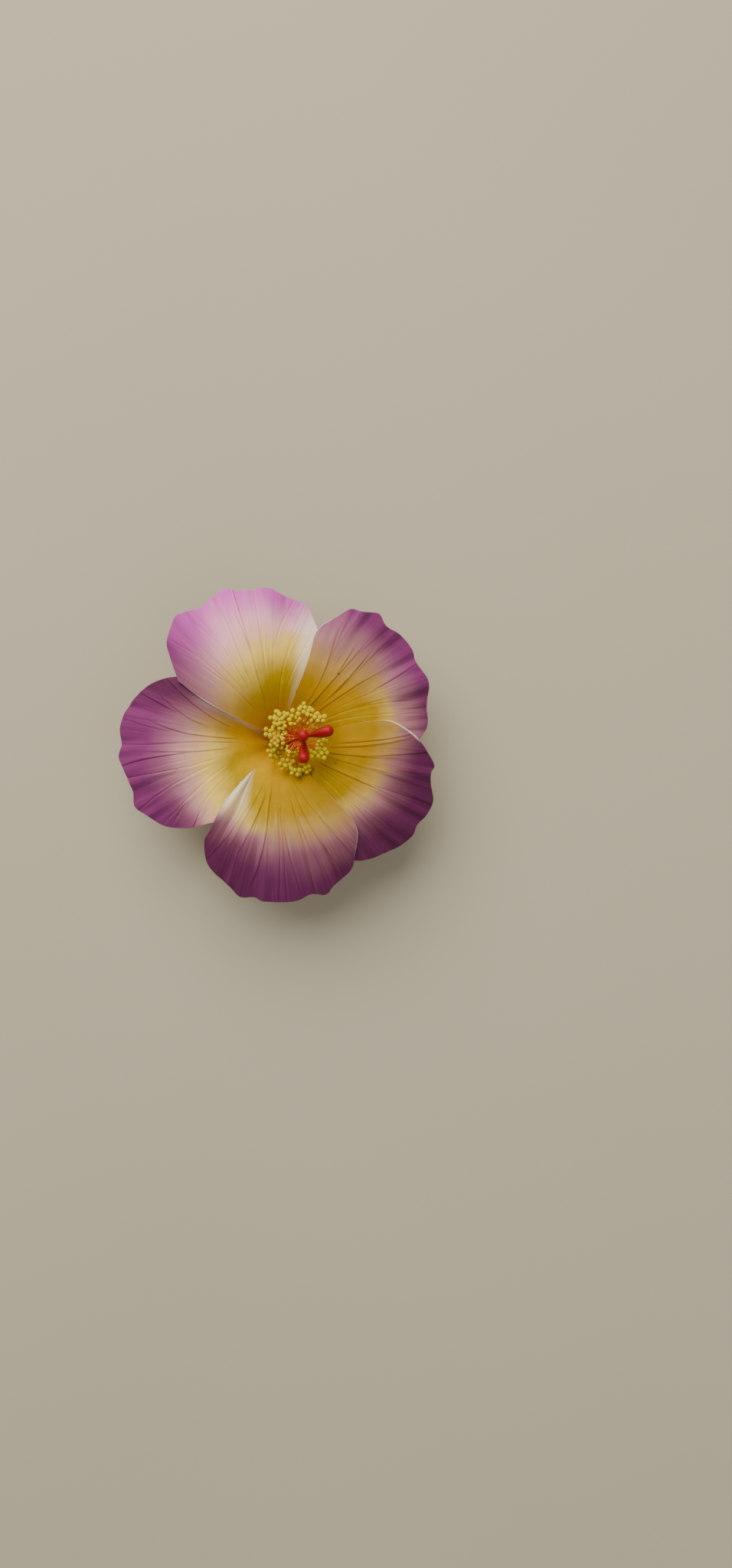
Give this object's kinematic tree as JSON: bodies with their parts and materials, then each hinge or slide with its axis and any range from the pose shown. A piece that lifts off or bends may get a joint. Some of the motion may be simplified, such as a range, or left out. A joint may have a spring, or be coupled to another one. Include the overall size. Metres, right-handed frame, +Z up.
{
  "type": "hibiscus flower",
  "caption": "Open flower: broad overlapping petals round a leaning column of beaded anthers and club-shaped stigmas, on a green calyx and a short cut stalk.",
  "frame": {"origin": "under the middle of the flower's outline, on the surface that it rests on; the flower's own axis stands 1.7 mm from it, towards +Y", "axes": "+Z up along the calyx, out of the open flower; the column of stamens leans towards +X"},
  "size_m": [0.1108, 0.1104, 0.0555],
  "materials": {
    "petal": "matte",
    "anther": "matte",
    "stigma": "matte",
    "green": "matte"
  },
  "bodies": {
    "root": {"petal_left": "petal", "petal_upper_left": "petal", "petal_upper_right": "petal", "petal_right": "petal", "petal_bottom": "petal", "stamens": "anther", "pistil": "stigma", "calyx": "green", "stalk": "green"}
  },
  "joints": []
}
